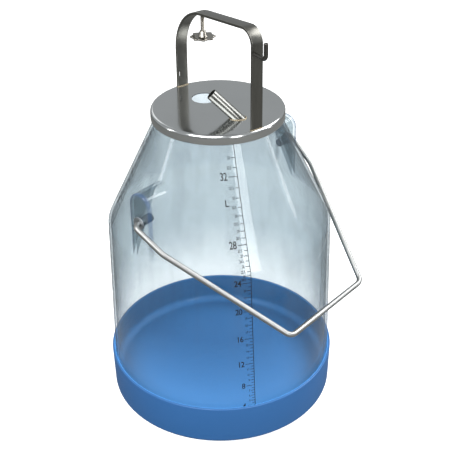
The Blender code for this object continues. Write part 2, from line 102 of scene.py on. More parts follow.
# Lid, with u along the handle from rear to front and v across it
LID_R = 0.0959
LID_TOP_Z = 0.4774
LID_SHEET = 0.0012
LID_EDGE = 0.0045
LID_TURN = math.radians(-14.5)
PORT_R = 0.0180
PORT_U = -0.0340
STRAP_HALF = 0.0910
STRAP_FRONT_Z = 0.6180
STRAP_REAR_Z = STRAP_FRONT_Z - 2.0 * STRAP_HALF * math.tan(math.radians(6.0))
STRAP_WIDTH = 0.0180
STRAP = 0.0040
STRAP_BENDS = [0.070, 0.020]
SLOT_V = -0.0045
HOOK_V = 0.0030 - STRAP_WIDTH / 2.0
HOOK_Z = STRAP_FRONT_Z - 0.0315
HOOK_R = 0.0030
HOOK_REACH = 0.0250
HOOK_RISE = 0.0225
HOOK_BEND = 0.0060
TUBE_R = 0.0080
TUBE_BORE = 0.0069
TUBE_U = 0.0487
TUBE_HEADING = math.radians(-127.5)
TUBE_RISE = math.radians(44.5)
TUBE_LENGTH = 0.0510
TUBE_CORNER = 0.0130
TUBE_DROP = 0.0220
TUBE_BEND = 0.0160
WHEEL_Z = 0.5690
SCREW_R = 0.0030
THREAD_PITCH = 1.0 * MM

# Headings of the three printed scales: where they meet the neck, and where they end at the bottom
SCALES = ((-36.0, -32.0), (-126.0, -122.0), (54.0, 58.0))

# Heights of some of the litre marks; the last lies above the printed line's end
SCALE_MARKS = {0.5: 0.0300, 4.0: 0.0660, 8.0: 0.1042, 12.0: 0.1447, 16.0: 0.1899, 28.0: 0.3371, 32.0: 0.4219,
               33.5: 0.4590}
INK = 0.06 * MM
LINE_HALF = 0.45 * MM


# ---------------------------------------------------------------- materials


def linear(code):
    """A colour written as an sRGB hex code, as linear values."""
    values = [int(code[i:i + 2], 16) / 255.0 for i in (0, 2, 4)]
    return [v / 12.92 if v <= 0.04045 else ((v + 0.055) / 1.055) ** 2.4 for v in values] + [1.0]


def add(tree, kind, settings=None, **links):
    """Adds a node. A link is a (node, output) pair or a plain value.

    It is named by its input socket, or i and the socket's number.
    """
    node = tree.nodes.new(kind)
    for name, value in (settings or {}).items():
        setattr(node, name, value)
    for name, value in links.items():
        numbered = name[0] == "i" and name[1:].isdigit()
        socket = node.inputs[int(name[1:]) if numbered else name.replace("_", " ")]
        if isinstance(value, tuple) and hasattr(value[0], "outputs"):
            tree.links.new(value[0].outputs[value[1]], socket)
        else:
            socket.default_value = value
    return node


def material(name, color, roughness, metallic=0.0, **sockets):
    mat = bpy.data.materials.new(name)
    mat.use_nodes = True
    shader = mat.node_tree.nodes["Principled BSDF"]
    shader.inputs["Base Color"].default_value = linear(color)
    shader.inputs["Roughness"].default_value = roughness
    shader.inputs["Metallic"].default_value = metallic
    for socket, value in sockets.items():
        shader.inputs[socket.replace("_", " ")].default_value = value
    mat.diffuse_color = linear(color)
    return mat


def place(tree, scale=(1.0, 1.0, 1.0)):
    """Object coordinates, stretched."""
    source = add(tree, "ShaderNodeTexCoord")
    return add(tree, "ShaderNodeMapping", Vector=(source, "Object"), Scale=scale)


def vary(mat, coords, scale, low, high, rough, detail=4.0, bump=0.0, depth=MM):
    """Noise over a surface: colour from low to high, roughness over a range, and a little relief."""
    tree = mat.node_tree
    shader = tree.nodes["Principled BSDF"]
    noise = add(tree, "ShaderNodeTexNoise", Vector=(coords, "Vector"), Scale=scale, Detail=detail,
                Roughness=0.6)
    mix = add(tree, "ShaderNodeMix", {"data_type": "RGBA"}, i0=(noise, "Fac"), i6=linear(low),
              i7=linear(high))
    tree.links.new(mix.outputs[2], shader.inputs["Base Color"])
    span = add(tree, "ShaderNodeMapRange", Value=(noise, "Fac"), i3=rough[0], i4=rough[1])
    tree.links.new(span.outputs[0], shader.inputs["Roughness"])
    if bump:
        relief = add(tree, "ShaderNodeBump", Height=(noise, "Fac"), Strength=bump, Distance=depth)
        tree.links.new(relief.outputs[0], shader.inputs["Normal"])
    return noise


def clear_plastic():
    """Clear polycarbonate: thin-walled, slightly hazy, bluer and denser where it is seen edge on."""
    mat = material("clear_polycarbonate", "7C8A95", 0.35)
    tree = mat.node_tree
    haze = tree.nodes["Principled BSDF"]
    stretched = place(tree, (1.0, 1.0, 0.2))
    waves = add(tree, "ShaderNodeTexNoise", Vector=(stretched, "Vector"), Scale=16.0, Detail=1.0)
    relief = add(tree, "ShaderNodeBump", Height=(waves, "Fac"), Strength=0.35, Distance=1.5 * MM)
    facing = add(tree, "ShaderNodeLayerWeight", Blend=0.5)
    density = add(tree, "ShaderNodeMath", {"operation": "POWER"}, i0=(facing, "Facing"), i1=3.0)
    spot = add(tree, "ShaderNodeSeparateXYZ", Vector=(place(tree), "Vector"))
    rise = add(tree, "ShaderNodeMapRange", Value=(spot, "Z"), i1=0.10, i2=0.33, i3=0.0, i4=0.055)
    above_cup = add(tree, "ShaderNodeMapRange", Value=(spot, "Z"), i1=0.085, i2=0.19)
    # The bottom plate lies on the cup's floor and is left without gloss
    off_floor = add(tree, "ShaderNodeMapRange", Value=(spot, "Z"), i1=0.022, i2=0.030)
    # Flow marks of the moulding: faint upright streaks in the haze, 20 to 40 mm apart
    upright = place(tree, (1.0, 1.0, 0.06))
    flow = add(tree, "ShaderNodeTexNoise", Vector=(upright, "Vector"), Scale=34.0, Detail=2.0)
    streak = add(tree, "ShaderNodeMapRange", Value=(flow, "Fac"), i1=0.42, i2=0.66, i3=0.45, i4=2.1)
    rise = add(tree, "ShaderNodeMath", {"operation": "MULTIPLY"}, i0=(rise, 0), i1=(streak, 0))
    share = add(tree, "ShaderNodeMath", {"operation": "MULTIPLY_ADD"}, i0=(density, 0), i1=0.35,
                i2=(rise, 0))
    # The ears' rounded edges look deep blue, as thick plastic does edge on
    above = add(tree, "ShaderNodeMath", {"operation": "SUBTRACT"}, i0=(spot, "Z"), i1=EAR_ROUND_Z)
    above = add(tree, "ShaderNodeMath", {"operation": "MAXIMUM"}, i0=(above, 0), i1=0.0)
    round_off = add(tree, "ShaderNodeCombineXYZ", X=(spot, "Y"), Y=(above, 0))
    reach = add(tree, "ShaderNodeVectorMath", {"operation": "LENGTH"}, i0=(round_off, 0))
    edge = add(tree, "ShaderNodeMapRange", Value=(reach, "Value"), i1=EAR_HALF - 0.0045, i2=EAR_HALF - 0.001)
    side = add(tree, "ShaderNodeMath", {"operation": "ABSOLUTE"}, i0=(spot, "X"))
    face = add(tree, "ShaderNodeMapRange", Value=(side, 0), i1=EAR_FACE_X - 0.008, i2=EAR_FACE_X - 0.004)
    high = add(tree, "ShaderNodeMapRange", Value=(spot, "Z"), i1=0.305, i2=0.33)
    rim = add(tree, "ShaderNodeMath", {"operation": "MULTIPLY"}, i0=(edge, 0), i1=(face, 0))
    rim = add(tree, "ShaderNodeMath", {"operation": "MULTIPLY"}, i0=(rim, 0), i1=(high, 0))
    tint = add(tree, "ShaderNodeMix", {"data_type": "RGBA"}, i0=(rim, 0), i6=linear("7C8A95"),
               i7=linear("3E5F8C"))
    tree.links.new(tint.outputs[2], haze.inputs["Base Color"])
    share = add(tree, "ShaderNodeMath", {"operation": "MULTIPLY_ADD"}, i0=(rim, 0), i1=0.42, i2=(share, 0))
    cast = add(tree, "ShaderNodeMix", {"data_type": "RGBA"}, i0=(above_cup, 0), i6=linear("FFFFFF"),
               i7=linear("E1E6E8"))
    see = add(tree, "ShaderNodeBsdfTransparent", Color=(cast, 2))
    body = add(tree, "ShaderNodeMixShader", i0=(share, 0), i1=(see, 0), i2=(haze, 0))
    glance = add(tree, "ShaderNodeMath", {"operation": "POWER"}, i0=(facing, "Facing"), i1=5.0)
    mirror = add(tree, "ShaderNodeMath", {"operation": "MULTIPLY_ADD"}, i0=(glance, 0), i1=0.5, i2=0.025)
    mirror = add(tree, "ShaderNodeMath", {"operation": "MULTIPLY"}, i0=(mirror, 0), i1=(off_floor, 0))
    gloss = add(tree, "ShaderNodeBsdfGlossy", Color=linear("FFFFFF"), Roughness=0.05, Normal=(relief, 0))
    whole = add(tree, "ShaderNodeMixShader", i0=(mirror, 0), i1=(body, 0), i2=(gloss, 0))
    tree.links.new(whole.outputs[0], tree.nodes["Material Output"].inputs["Surface"])
    return mat


def paler_inside(mat):
    """A paler blue inside makes up for the light that the clear wall takes."""
    tree = mat.node_tree
    shader = tree.nodes["Principled BSDF"]
    outer = shader.inputs["Base Color"].links[0].from_socket
    spot = add(tree, "ShaderNodeSeparateXYZ", Vector=(place(tree), "Vector"))
    flat = add(tree, "ShaderNodeCombineXYZ", X=(spot, "X"), Y=(spot, "Y"))
    radius = add(tree, "ShaderNodeVectorMath", {"operation": "LENGTH"}, i0=(flat, 0))
    inside = add(tree, "ShaderNodeMapRange", Value=(radius, "Value"), i1=BODY_R + 2.0 * MM,
                 i2=BODY_R + 1.0 * MM)
    # Paler still up the wall, where less light gets in
    wall = add(tree, "ShaderNodeMapRange", Value=(radius, "Value"), i1=BODY_R - 12.0 * MM,
               i2=BODY_R - 2.0 * MM)
    inner = add(tree, "ShaderNodeMix", {"data_type": "RGBA"}, i0=(wall, 0), i6=linear("559FEA"),
                i7=linear("5FB0FF"))
    mix = add(tree, "ShaderNodeMix", {"data_type": "RGBA"}, i0=(inside, 0), i7=(inner, 2))
    tree.links.new(outer, mix.inputs[6])
    tree.links.new(mix.outputs[2], shader.inputs["Base Color"])


def studio_floor():
    """Pale floor: it glows a little, as a lit studio table does, and throws back less light."""
    mat = material("studio_floor", "F4F4F4", 0.9)
    tree = mat.node_tree
    pale = tree.nodes["Principled BSDF"]
    pale.inputs["Emission Color"].default_value = linear("FFFFFF")
    pale.inputs["Emission Strength"].default_value = 0.62
    dull = add(tree, "ShaderNodeBsdfDiffuse", Color=linear("7A7A78"))
    path = add(tree, "ShaderNodeLightPath")
    both = add(tree, "ShaderNodeMixShader", i0=(path, "Is Camera Ray"), i1=(dull, 0), i2=(pale, 0))
    tree.links.new(both.outputs[0], tree.nodes["Material Output"].inputs["Surface"])
    return mat


def make_materials():
    mats = {}
    mats["clear"] = clear_plastic()
    # Blue moulded polyethylene, satin with a fine grain
    blue = material("blue_plastic", "356CA9", 0.38, Specular_IOR_Level=0.4)
    vary(blue, place(blue.node_tree), 9.0, "3269A5", "3A70AE", (0.34, 0.44), 6.0, 0.05, 0.2 * MM)
    paler_inside(blue)
    mats["blue"] = blue
    # Polished stainless sheet: nearly a mirror, with a faint cloudiness
    lid = material("polished_stainless", "BDBBB6", 0.1, 1.0)
    vary(lid, place(lid.node_tree), 14.0, "C6C8C8", "D0D2D2", (0.1, 0.18), 3.0, 0.02, 0.1 * MM)
    mats["lid"] = lid
    # Ground flat bar: streaks along the bar, warm grey
    bar = material("satin_stainless", "8F8A80", 0.3, 1.0)
    along = place(bar.node_tree, (1.0, 1.0, 0.12))
    vary(bar, along, 160.0, "6B6A66", "84837D", (0.24, 0.38), 5.0, 0.05, 0.1 * MM)
    mats["bar"] = bar
    # Drawn stainless wire, satin
    wire = material("stainless_wire", "A9AAA9", 0.4, 1.0)
    vary(wire, place(wire.node_tree), 90.0, "A2A3A2", "B2B3B2", (0.36, 0.46), 5.0)
    mats["wire"] = wire
    # Polished tube
    tube = material("tube_stainless", "8E8F8C", 0.26, 1.0)
    vary(tube, place(tube.node_tree), 60.0, "888986", "989894", (0.22, 0.32), 4.0)
    mats["tube"] = tube
    # Drawn rod of the hook, coloured darker than the other steel: a painted dark reflection of its
    # surroundings
    hook = material("hook_steel", "5E5C59", 0.3, 1.0)
    vary(hook, place(hook.node_tree), 120.0, "55534F", "6B6966", (0.25, 0.36), 4.0)
    mats["hook"] = hook
    # Turned steel of the hand wheel, screw and pad
    turned_steel = material("turned_steel", "9A968E", 0.22, 1.0)
    vary(turned_steel, place(turned_steel.node_tree), 200.0, "918D85", "A6A29B", (0.17, 0.28), 4.0)
    mats["turned"] = turned_steel
    # Turned steel of the sockets in the ears, seen through the plastic
    socket = material("socket_steel", "C6CBD0", 0.3, 1.0)
    vary(socket, place(socket.node_tree), 150.0, "A3A9AF", "BEC4CA", (0.35, 0.5), 4.0)
    mats["socket"] = socket
    # Weld metal, heat-tinted tan
    weld = material("weld_metal", "A79A83", 0.35, 1.0)
    vary(weld, place(weld.node_tree), 400.0, "94866E", "BDB29D", (0.28, 0.42), 4.0)
    mats["weld"] = weld
    # Black rubber gasket
    rubber = material("gasket_rubber", "1A1A1B", 0.65)
    vary(rubber, place(rubber.node_tree), 120.0, "161617", "202021", (0.58, 0.72), 4.0)
    mats["rubber"] = rubber
    # Black screen-printing ink
    mats["ink"] = material("scale_ink", "16181B", 0.5)
    mats["floor"] = studio_floor()
    return mats


# ---------------------------------------------------------------- shapes


def add_object(name, mesh, mat):
    item = bpy.data.objects.new(name, mesh)
    bpy.context.collection.objects.link(item)
    if mat is not None:
        mesh.materials.clear()
        mesh.materials.append(mat)
    return item


def mesh_from(bm, name):
    bmesh.ops.recalc_face_normals(bm, faces=bm.faces)
    mesh = bpy.data.meshes.new(name)
    bm.to_mesh(mesh)
    bm.free()
    mesh.shade_smooth()
    mesh.set_sharp_from_angle(angle=SHARP)
    return mesh


def arc(centre, radius, start_deg, end_deg, steps):
    angles = [math.radians(start_deg + (end_deg - start_deg) * n / steps) for n in range(steps + 1)]
    return [(centre[0] + radius * math.cos(a), centre[1] + radius * math.sin(a)) for a in angles]


def lathe(name, profile, segments, radius_at=None):
    """A profile of (radius, height) points turned about Z; a point on the axis closes it there."""
    bm = bmesh.new()
    rings = []
    for radius, height in profile:
        if radius == 0.0:
            rings.append([bm.verts.new((0.0, 0.0, height))] * segments)
            continue
        ring = []
        for step in range(segments):
            angle = 2.0 * math.pi * step / segments
            reach = radius_at(radius, angle, height) if radius_at else radius
            ring.append(bm.verts.new((reach * math.cos(angle), reach * math.sin(angle), height)))
        rings.append(ring)
    pairs = list(zip(rings, rings[1:]))
    if profile[0][0] != 0.0:
        pairs.append((rings[-1], rings[0]))
    for upper, lower in pairs:
        for step in range(segments):
            after = (step + 1) % segments
            corners = [upper[step], upper[after], lower[after], lower[step]]
            bm.faces.new([c for n, c in enumerate(corners) if c not in corners[:n]])
    return mesh_from(bm, name)


def rounded_path(corners, radii, steps):
    """A path through corner points, each inner corner replaced by an arc."""
    points = [Vector(corners[0])]
    for before, corner, after, radius in zip(corners, corners[1:], corners[2:], radii):
        corner = Vector(corner)
        inward = (Vector(before) - corner).normalized()
        outward = (Vector(after) - corner).normalized()
        half = inward.angle(outward) / 2.0
        centre = corner + (inward + outward).normalized() * (radius / math.sin(half))
        first = corner + inward * (radius / math.tan(half)) - centre
        last = corner + outward * (radius / math.tan(half)) - centre
        axis = first.cross(last).normalized()
        sweep = first.angle(last)
        points += [centre + Matrix.Rotation(sweep * n / steps, 3, axis) @ first for n in range(steps + 1)]
    points.append(Vector(corners[-1]))
    return points


def sweep(name, points, sections, side):
    """Joins sections along a path in one plane; side is that plane's normal.

    sections is one list of (across, up) pairs, or one for each point of the path.
    """
    bm = bmesh.new()
    side = Vector(side).normalized()
    rings = []
    for index, point in enumerate(points):
        before, after = points[max(index - 1, 0)], points[min(index + 1, len(points) - 1)]
        up = side.cross((after - before).normalized()).normalized()
        section = sections[index] if isinstance(sections[0], list) else sections
        rings.append([bm.verts.new(point + side * a + up * b) for a, b in section])
    for ring, following in zip(rings, rings[1:]):
        for step in range(len(ring)):
            after = (step + 1) % len(ring)
            bm.faces.new([ring[step], ring[after], following[after], following[step]])
    bm.faces.new(rings[0])
    bm.faces.new(list(reversed(rings[-1])))
    return mesh_from(bm, name)


def circle(radius, sides):
    return [(radius * math.cos(2 * math.pi * n / sides), radius * math.sin(2 * math.pi * n / sides))
            for n in range(sides)]


def domed_rod(name, points, radius, side, sides=40):
    """A round rod whose ends are softly domed."""
    first = (points[1] - points[0]).normalized()
    last = (points[-1] - points[-2]).normalized()
    dome = radius * 0.35
    turns = [math.pi / 2 * n / 6 for n in range(6)]
    drops = [dome * (1 - math.cos(turn)) for turn in turns] + [dome]
    ends = [circle(radius - dome + dome * math.sin(turn), sides) for turn in turns] + [circle(radius, sides)]
    path = [points[0] + first * drop for drop in drops] + points[1:-1]
    path += [points[-1] - last * drop for drop in reversed(drops)]
    sections = ends + [circle(radius, sides)] * (len(points) - 2) + ends[::-1]
    return sweep(name, path, sections, side)


def layered_prism(name, rings):
    """Closed outlines with equal point counts, joined one after another and capped."""
    bm = bmesh.new()
    loops = [[bm.verts.new(point) for point in ring] for ring in rings]
    for loop, following in zip(loops, loops[1:]):
        for step in range(len(loop)):
            after = (step + 1) % len(loop)
            bm.faces.new([loop[step], loop[after], following[after], following[step]])
    bm.faces.new(loops[0])
    bm.faces.new(list(reversed(loops[-1])))
    return mesh_from(bm, name)


def carve(item, steps):
    """Applies Booleans to item: steps is a list of (operation, mesh, matrix)."""
    tools = []
    for operation, mesh, matrix in steps:
        tool = bpy.data.objects.new(mesh.name, mesh)
        bpy.context.collection.objects.link(tool)
        if matrix is not None:
            tool.matrix_world = matrix
        tools.append(tool)
        modifier = item.modifiers.new(mesh.name, "BOOLEAN")
        modifier.operation = operation
        modifier.object = tool
        modifier.solver = "EXACT"
    bake(item)
    for tool in tools:
        bpy.data.objects.remove(tool, do_unlink=True)
    item.data.shade_smooth()
    item.data.set_sharp_from_angle(angle=SHARP)


def bake(item):
    """Replaces item's mesh with what its modifiers make, and clears them."""
    bpy.context.view_layer.update()
    evaluated = item.evaluated_get(bpy.context.evaluated_depsgraph_get())
    mesh = bpy.data.meshes.new_from_object(evaluated)
    item.modifiers.clear()
    item.data = mesh


def on_lid(u, v, z):
    return Vector((u * math.sin(LID_TURN) + v * math.cos(LID_TURN),
                   -u * math.cos(LID_TURN) + v * math.sin(LID_TURN), z))


def transform(mesh, matrix):
    mesh.transform(matrix)
    return mesh


# ---------------------------------------------------------------- bucket


def cone_r(z):
    return SHOULDER_R - (z - SHOULDER_Z) * SLOPE


def outside_r(z):
    """Radius of the clear body's outer surface at a height."""
    if z >= SHOULDER_Z:
        return cone_r(z)
    return BODY_R + (SHOULDER_R - BODY_R) * (z - CUP_TOP_Z) / (SHOULDER_Z - CUP_TOP_Z)


def ear_ring(half, side, x):
    straight = [(side * x, -half, EAR_BOTTOM_Z), (side * x, half, EAR_BOTTOM_Z)]
    return straight + [(side * x, y, z) for y, z in arc((0.0, EAR_ROUND_Z), half, 0, 180, 40)]


def ear(name, half, side, face, edge, depth):
    """A tombstone-shaped prism whose front edge is rounded."""
    rings = []
    for n in range(7):
        angle = math.pi / 2 * n / 6
        rings.append(ear_ring(half - edge * (1 - math.sin(angle)), side, face - edge * (1 - math.cos(angle))))
    rings.append(ear_ring(half, side, face - depth))
    return layered_prism(name, rings)


def make_body(mats):
    lean = math.degrees(math.atan(SLOPE))
    wall = WALL * math.hypot(1.0, SLOPE)
    bottom = CUP_FLOOR_Z + GAP
    under_lip = RIM_Z - LIP_HEIGHT
    shoulder = math.tan(math.radians(lean / 2.0))
    outer_c = (SHOULDER_R - SHOULDER_ROUND, SHOULDER_Z - SHOULDER_ROUND * shoulder)
    profile = [(0.0, RIM_Z)] + arc((LIP_R - MM, RIM_Z - MM), MM, 90, 0, 4)
    profile += arc((LIP_R - MM, under_lip + MM), MM, 0, -90, 4)
    profile += [(cone_r(under_lip - MM), under_lip - MM)]
    profile += arc(outer_c, SHOULDER_ROUND, lean, 0, 6)
    profile += [(BODY_R, CUP_TOP_Z)] + arc((BODY_R - FOOT_R, bottom + FOOT_R), FOOT_R, 0, -90, 10)
    profile.append((0.0, bottom))
    body = add_object("clear_body", lathe("clear_body", profile, TURNED_STEPS), mats["clear"])
    inner_bottom = bottom + WALL
    corner = FOOT_R - WALL
    inner_shoulder = SHOULDER_Z - WALL * SLOPE / 2.0
    inner_c = (SHOULDER_R - WALL - SHOULDER_ROUND, inner_shoulder - SHOULDER_ROUND * shoulder)
    space = [(0.0, RIM_Z + 0.02), (cone_r(RIM_Z) - wall, RIM_Z + 0.02), (cone_r(RIM_Z) - wall, RIM_Z)]
    space += arc(inner_c, SHOULDER_ROUND, lean, 0, 6)
    space += [(BODY_R - WALL, CUP_TOP_Z)]
    space += arc((BODY_R - FOOT_R, inner_bottom + corner), corner, 0, -90, 8)
    space.append((0.0, inner_bottom))
    steps = []
    for side in (-1, 1):
        steps.append(("UNION", ear("ear", EAR_HALF, side, EAR_FACE_X, EAR_EDGE, EAR_DEPTH), None))
    steps.append(("DIFFERENCE", lathe("space", space, TURNED_STEPS), None))
    for side in (-1, 1):
        ear_space = ear("ear_space", EAR_HALF - WALL, side, EAR_FACE_X - WALL, 0.002, EAR_SPACE_DEPTH)
        steps.append(("DIFFERENCE", ear_space, None))
    for side in (-1, 1):
        hole = lathe("hole", [(0, -0.02), (SOCKET_HOLE_R, -0.02), (SOCKET_HOLE_R, 0.02), (0, 0.02)], 48)
        turn = Matrix.Translation((side * EAR_FACE_X, 0, PIVOT_Z)) @ Matrix.Rotation(math.pi / 2, 4, "Y")
        steps.append(("DIFFERENCE", hole, turn))
    carve(body, steps)
    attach(body, "bucket")
    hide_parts("bucket_body")


def make_sockets(mats):
    """Knurled blind sockets in the ears."""
    end = SOCKET_LENGTH - SOCKET_FLANGE
    floor = SOCKET_END - end

    def knurl(radius, angle, height):
        if radius < 0.0064 or radius > 0.0072 or height > -0.0042:
            return radius
        ring = 0.5 + 0.5 * math.cos(2 * math.pi * height / 0.0022)
        teeth = 0.5 + 0.5 * math.cos(22 * angle)
        return radius - 0.0007 * (1.0 - ring * teeth)

    for label, side in (("left", -1), ("right", 1)):
        profile = [(0.0, -end), (0.0060, -end), (SOCKET_R, -end + 0.0007)]
        profile += [(SOCKET_R, -end + 0.0007 + n * 0.00036) for n in range(1, 48)]
        profile += [(SOCKET_R, GAP)] + arc((SOCKET_FLANGE_R, GAP + 0.0007), 0.0007, -90, 0, 4)
        profile += arc((SOCKET_FLANGE_R, SOCKET_FLANGE - 0.0007), 0.0007, 0, 90, 4)
        profile += [(SOCKET_BORE + 0.0004, SOCKET_FLANGE), (SOCKET_BORE, SOCKET_FLANGE - 0.0004)]
        profile += [(SOCKET_BORE, floor), (0.0, floor)]
        mesh = lathe("socket_" + label, profile, 132, knurl)
        turn = Matrix.Rotation(side * math.pi / 2, 4, "Y")
        turn = Matrix.Translation((side * EAR_FACE_X, 0, PIVOT_Z)) @ turn
        socket = add_object("socket_" + label, transform(mesh, turn), mats["socket"])
        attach(socket, "bucket")
        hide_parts("bail_socket_" + label)


def make_cup(mats):
    inner = BODY_R + GAP
    top_r = inner + CUP_WALL
    foot_r = top_r - 0.0013
    well = FOOT_R + GAP
    ring = foot_r - 0.0090
    profile = [(0.0, CUP_FLOOR_Z)] + arc((inner - well, CUP_FLOOR_Z + well), well, -90, 0, 10)
    profile += arc((inner + 0.0008, CUP_TOP_Z - 0.0008), 0.0008, 180, 90, 4)
    profile += arc((top_r - 0.0018, CUP_TOP_Z - 0.0018), 0.0018, 90, 0, 6)
    profile += arc((foot_r - 0.006, 0.006), 0.006, 0, -90, 10)
    profile += [(ring + 0.0006, 0.0), (ring, 0.0006), (ring, CUP_UNDER_Z)]
    profile += [(0.091, CUP_UNDER_Z), (0.091, 0.0), (0.085, 0.0), (0.085, CUP_UNDER_Z)]
    profile += [(0.024, CUP_UNDER_Z), (0.024, 0.0), (0.0, 0.0)]
    cup = add_object("blue_cup", lathe("blue_cup", profile, TURNED_STEPS), mats["blue"])
    steps = []
    for number in range(4):
        angle = math.radians(22.5 + 45.0 * number)
        reach = ring + 0.002
        across = Vector((-math.sin(angle), math.cos(angle), 0.0)) * 0.0025
        along = Vector((math.cos(angle), math.sin(angle), 0.0)) * reach
        low = Vector((0.0, 0.0, 0.002))
        outline = [along - across, along + across, -along + across, -along - across]
        rings = [[p + low for p in outline], [p + Vector((0.0, 0.0, CUP_UNDER_Z + 0.001)) for p in outline]]
        steps.append(("UNION", layered_prism("rib", rings), None))
    carve(cup, steps)
    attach(cup, "bucket")
    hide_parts("base_cup")


# ---------------------------------------------------------------- printed scales


def litre_heights():
    """Height of each half litre's mark: known marks, and the volume swept between them."""
    heights = []
    marks = sorted(SCALE_MARKS.items())
    for (first, low), (last, high) in zip(marks, marks[1:]):
        steps = 200
        swept = [0.0]
        for n in range(steps):
            z = low + (high - low) * (n + 0.5) / steps
            swept.append(swept[-1] + (outside_r(z) - WALL) ** 2)
        litre = first
        while litre < last:
            wanted = swept[-1] * (litre - first) / (last - first)
            n = min(i for i in range(steps + 1) if swept[i] >= wanted - 1e-12)
            heights.append((litre, low + (high - low) * n / steps))
            litre += 0.5
    return heights


def tick_tree():
    """Draws a tick at each point: a thin flat bar as long as the point says."""
    tree = bpy.data.node_groups.new("scale_ticks", "GeometryNodeTree")
    tree.interface.new_socket("Geometry", in_out="INPUT", socket_type="NodeSocketGeometry")
    width = tree.interface.new_socket("Line width", in_out="INPUT", socket_type="NodeSocketFloat")
    thick = tree.interface.new_socket("Ink thickness", in_out="INPUT", socket_type="NodeSocketFloat")
    ink = tree.interface.new_socket("Ink", in_out="INPUT", socket_type="NodeSocketMaterial")
    tree.interface.new_socket("Geometry", in_out="OUTPUT", socket_type="NodeSocketGeometry")
    start = add(tree, "NodeGroupInput")
    size = add(tree, "ShaderNodeCombineXYZ", X=1.0, Y=(start, "Line width"), Z=(start, "Ink thickness"))
    bar = add(tree, "GeometryNodeMeshCube", Size=(size, "Vector"), Vertices_X=9)
    shift = add(tree, "GeometryNodeTransform", Geometry=(bar, "Mesh"), Translation=(-0.5, 0.0, 0.0))
    length = add(tree, "GeometryNodeInputNamedAttribute", {"data_type": "FLOAT"}, Name="length")
    scale = add(tree, "ShaderNodeCombineXYZ", X=(length, "Attribute"), Y=1.0, Z=1.0)
    copies = add(tree, "GeometryNodeInstanceOnPoints", Points=(start, "Geometry"),
                 Instance=(shift, "Geometry"), Scale=(scale, "Vector"))
    real = add(tree, "GeometryNodeRealizeInstances", Geometry=(copies, "Instances"))
    inked = add(tree, "GeometryNodeSetMaterial", Geometry=(real, "Geometry"), Material=(start, "Ink"))
    end = add(tree, "NodeGroupOutput")
    tree.links.new(inked.outputs["Geometry"], end.inputs["Geometry"])
    return tree, (width.identifier, thick.identifier, ink.identifier)


def run_nodes(item, tree, values):
    modifier = item.modifiers.new(tree.name, "NODES")
    modifier.node_group = tree
    for identifier, value in values.items():
        modifier[identifier] = value
    bake(item)


def text_mesh(words, height):
    """Words as a thin mesh, right-aligned on the origin and centred in height."""
    curve = bpy.data.curves.new("words", "FONT")
    curve.body = words
    curve.size = height * 1.38
    curve.space_character = 0.9
    curve.extrude = INK / 2.0
    curve.offset = 0.016 * height
    curve.align_x = "RIGHT"
    curve.align_y = "CENTER"
    curve.resolution_u = 3
    item = bpy.data.objects.new("words", curve)
    bpy.context.collection.objects.link(item)
    bpy.context.view_layer.update()
    mesh = bpy.data.meshes.new_from_object(item.evaluated_get(bpy.context.evaluated_depsgraph_get()))
    bpy.data.objects.remove(item, do_unlink=True)
    return mesh


def wrap(mesh, heading_top, heading_bottom):
    """Lays a flat print on the body: x is the way round, y the height, z the way out."""
    for vertex in mesh.vertices:
        x, z, out = vertex.co
        radius = outside_r(z) + out + INK
        share = (NECK_Z - z) / (NECK_Z - CUP_FLOOR_Z)
        heading = math.radians(heading_top + (heading_bottom - heading_top) * share) + x / radius
        vertex.co = (radius * math.sin(heading), -radius * math.cos(heading), z)


def make_scales(mats):
    heights = litre_heights()
    bm = bmesh.new()
    lengths = []
    for litre, z in heights:
        if z > NECK_Z - 0.004 or z < CUP_FLOOR_Z + FOOT_R + 0.004:
            continue
        bm.verts.new((0.0, z, 0.0))
        major = litre % 4.0 == 0.0
        lengths.append(0.0125 if major else 0.0060 if litre % 1.0 == 0.0 else 0.0045)
    points = bpy.data.meshes.new("scale_points")
    bm.to_mesh(points)
    bm.free()
    points.attributes.new("length", "FLOAT", "POINT").data.foreach_set("value", lengths)
    tree, names = tick_tree()
    ticks = add_object("ticks", points, None)
    run_nodes(ticks, tree, dict(zip(names, (0.8 * MM, INK, mats["ink"]))))
    flat = bmesh.new()
    flat.from_mesh(ticks.data)
    bpy.data.objects.remove(ticks, do_unlink=True)
    for litre, z in heights:
        if z > NECK_Z - 0.006 or z < CUP_FLOOR_Z + FOOT_R + 0.006:
            continue
        major = litre % 4.0 == 0.0
        if not major and litre % 1.0 and litre < 24.0:
            continue
        mesh = text_mesh("%g" % litre, 0.0100 if major else 0.0038)
        reach = -0.0138 if major else -0.0070
        mesh.transform(Matrix.Translation((reach, z, 0.0)) @ Matrix.Diagonal((0.8, 1.0, 1.0, 1.0)))
        flat.from_mesh(mesh)
    letter = text_mesh("L", 0.0085)
    letter.transform(Matrix.Translation((-0.0165, dict(heights)[30.0] + 0.016, 0.0)))
    flat.from_mesh(letter)
    bottom, top = CUP_FLOOR_Z + FOOT_R + 0.003, NECK_Z - 0.001
    steps = 90
    for n in range(steps):
        low = bottom + (top - bottom) * n / steps
        high = bottom + (top - bottom) * (n + 1) / steps
        corners = [(-LINE_HALF, low), (LINE_HALF, low), (LINE_HALF, high), (-LINE_HALF, high)]
        back = [flat.verts.new((x, y, -INK / 2.0)) for x, y in corners]
        front = [flat.verts.new((x, y, INK / 2.0)) for x, y in corners]
        flat.faces.new(front)
        flat.faces.new(list(reversed(back)))
        for a, b in ((0, 1), (2, 3), (1, 2), (3, 0)):
            flat.faces.new([back[a], back[b], front[b], front[a]])
    for number, (heading_top, heading_bottom) in enumerate(SCALES):
        mesh = bpy.data.meshes.new("scale_%d" % (number + 1))
        flat.to_mesh(mesh)
        wrap(mesh, heading_top, heading_bottom)
        scale = add_object("printed_scale_%d" % (number + 1), mesh, mats["ink"])
        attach(scale, "bucket")
    flat.free()


# ---------------------------------------------------------------- bail


